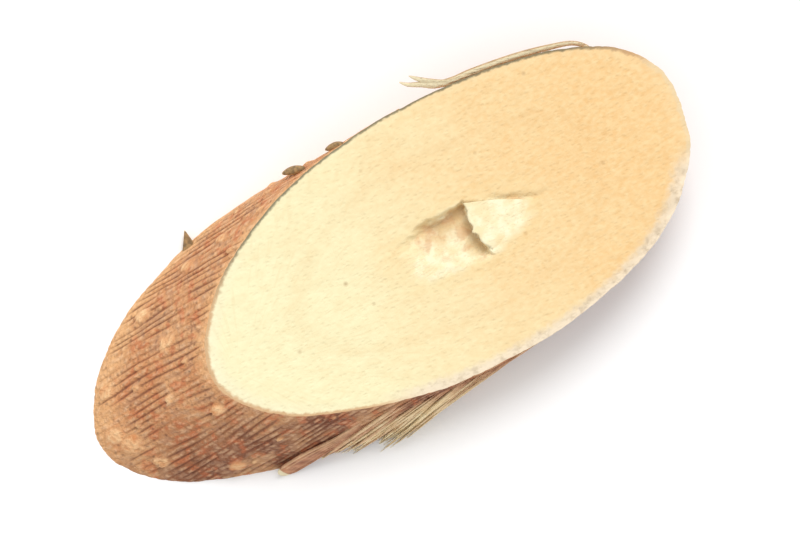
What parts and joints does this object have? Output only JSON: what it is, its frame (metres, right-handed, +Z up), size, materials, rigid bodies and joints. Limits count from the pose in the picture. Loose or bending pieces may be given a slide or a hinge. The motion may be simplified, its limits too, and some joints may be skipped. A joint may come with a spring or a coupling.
{
  "type": "mulberry twig slice",
  "caption": "Slice of a dried mulberry twig, cut slantwise: a long oval wood face with torn pith in its middle, above a leaning wall of ridged bark.",
  "frame": {"origin": "middle of the slice's box on its underside, where the lower cut face rests", "axes": "+Z up, square to both cut faces; +X along the long axis of the oval cut faces, towards the end where the bark wall tucks in under the upper face; +Y across"},
  "size_m": [0.0376, 0.015, 0.0043],
  "materials": {
    "wood": "dry knife-cut sapwood, cream to pale peach, matte with a slight silk",
    "bark": "dry thin bark, finely ridged, matte, with pale orange pores",
    "pith": "soft spongy pith, off-white, fully matte"
  },
  "bodies": {
    "root": {"twig_slice": "wood"}
  },
  "joints": []
}
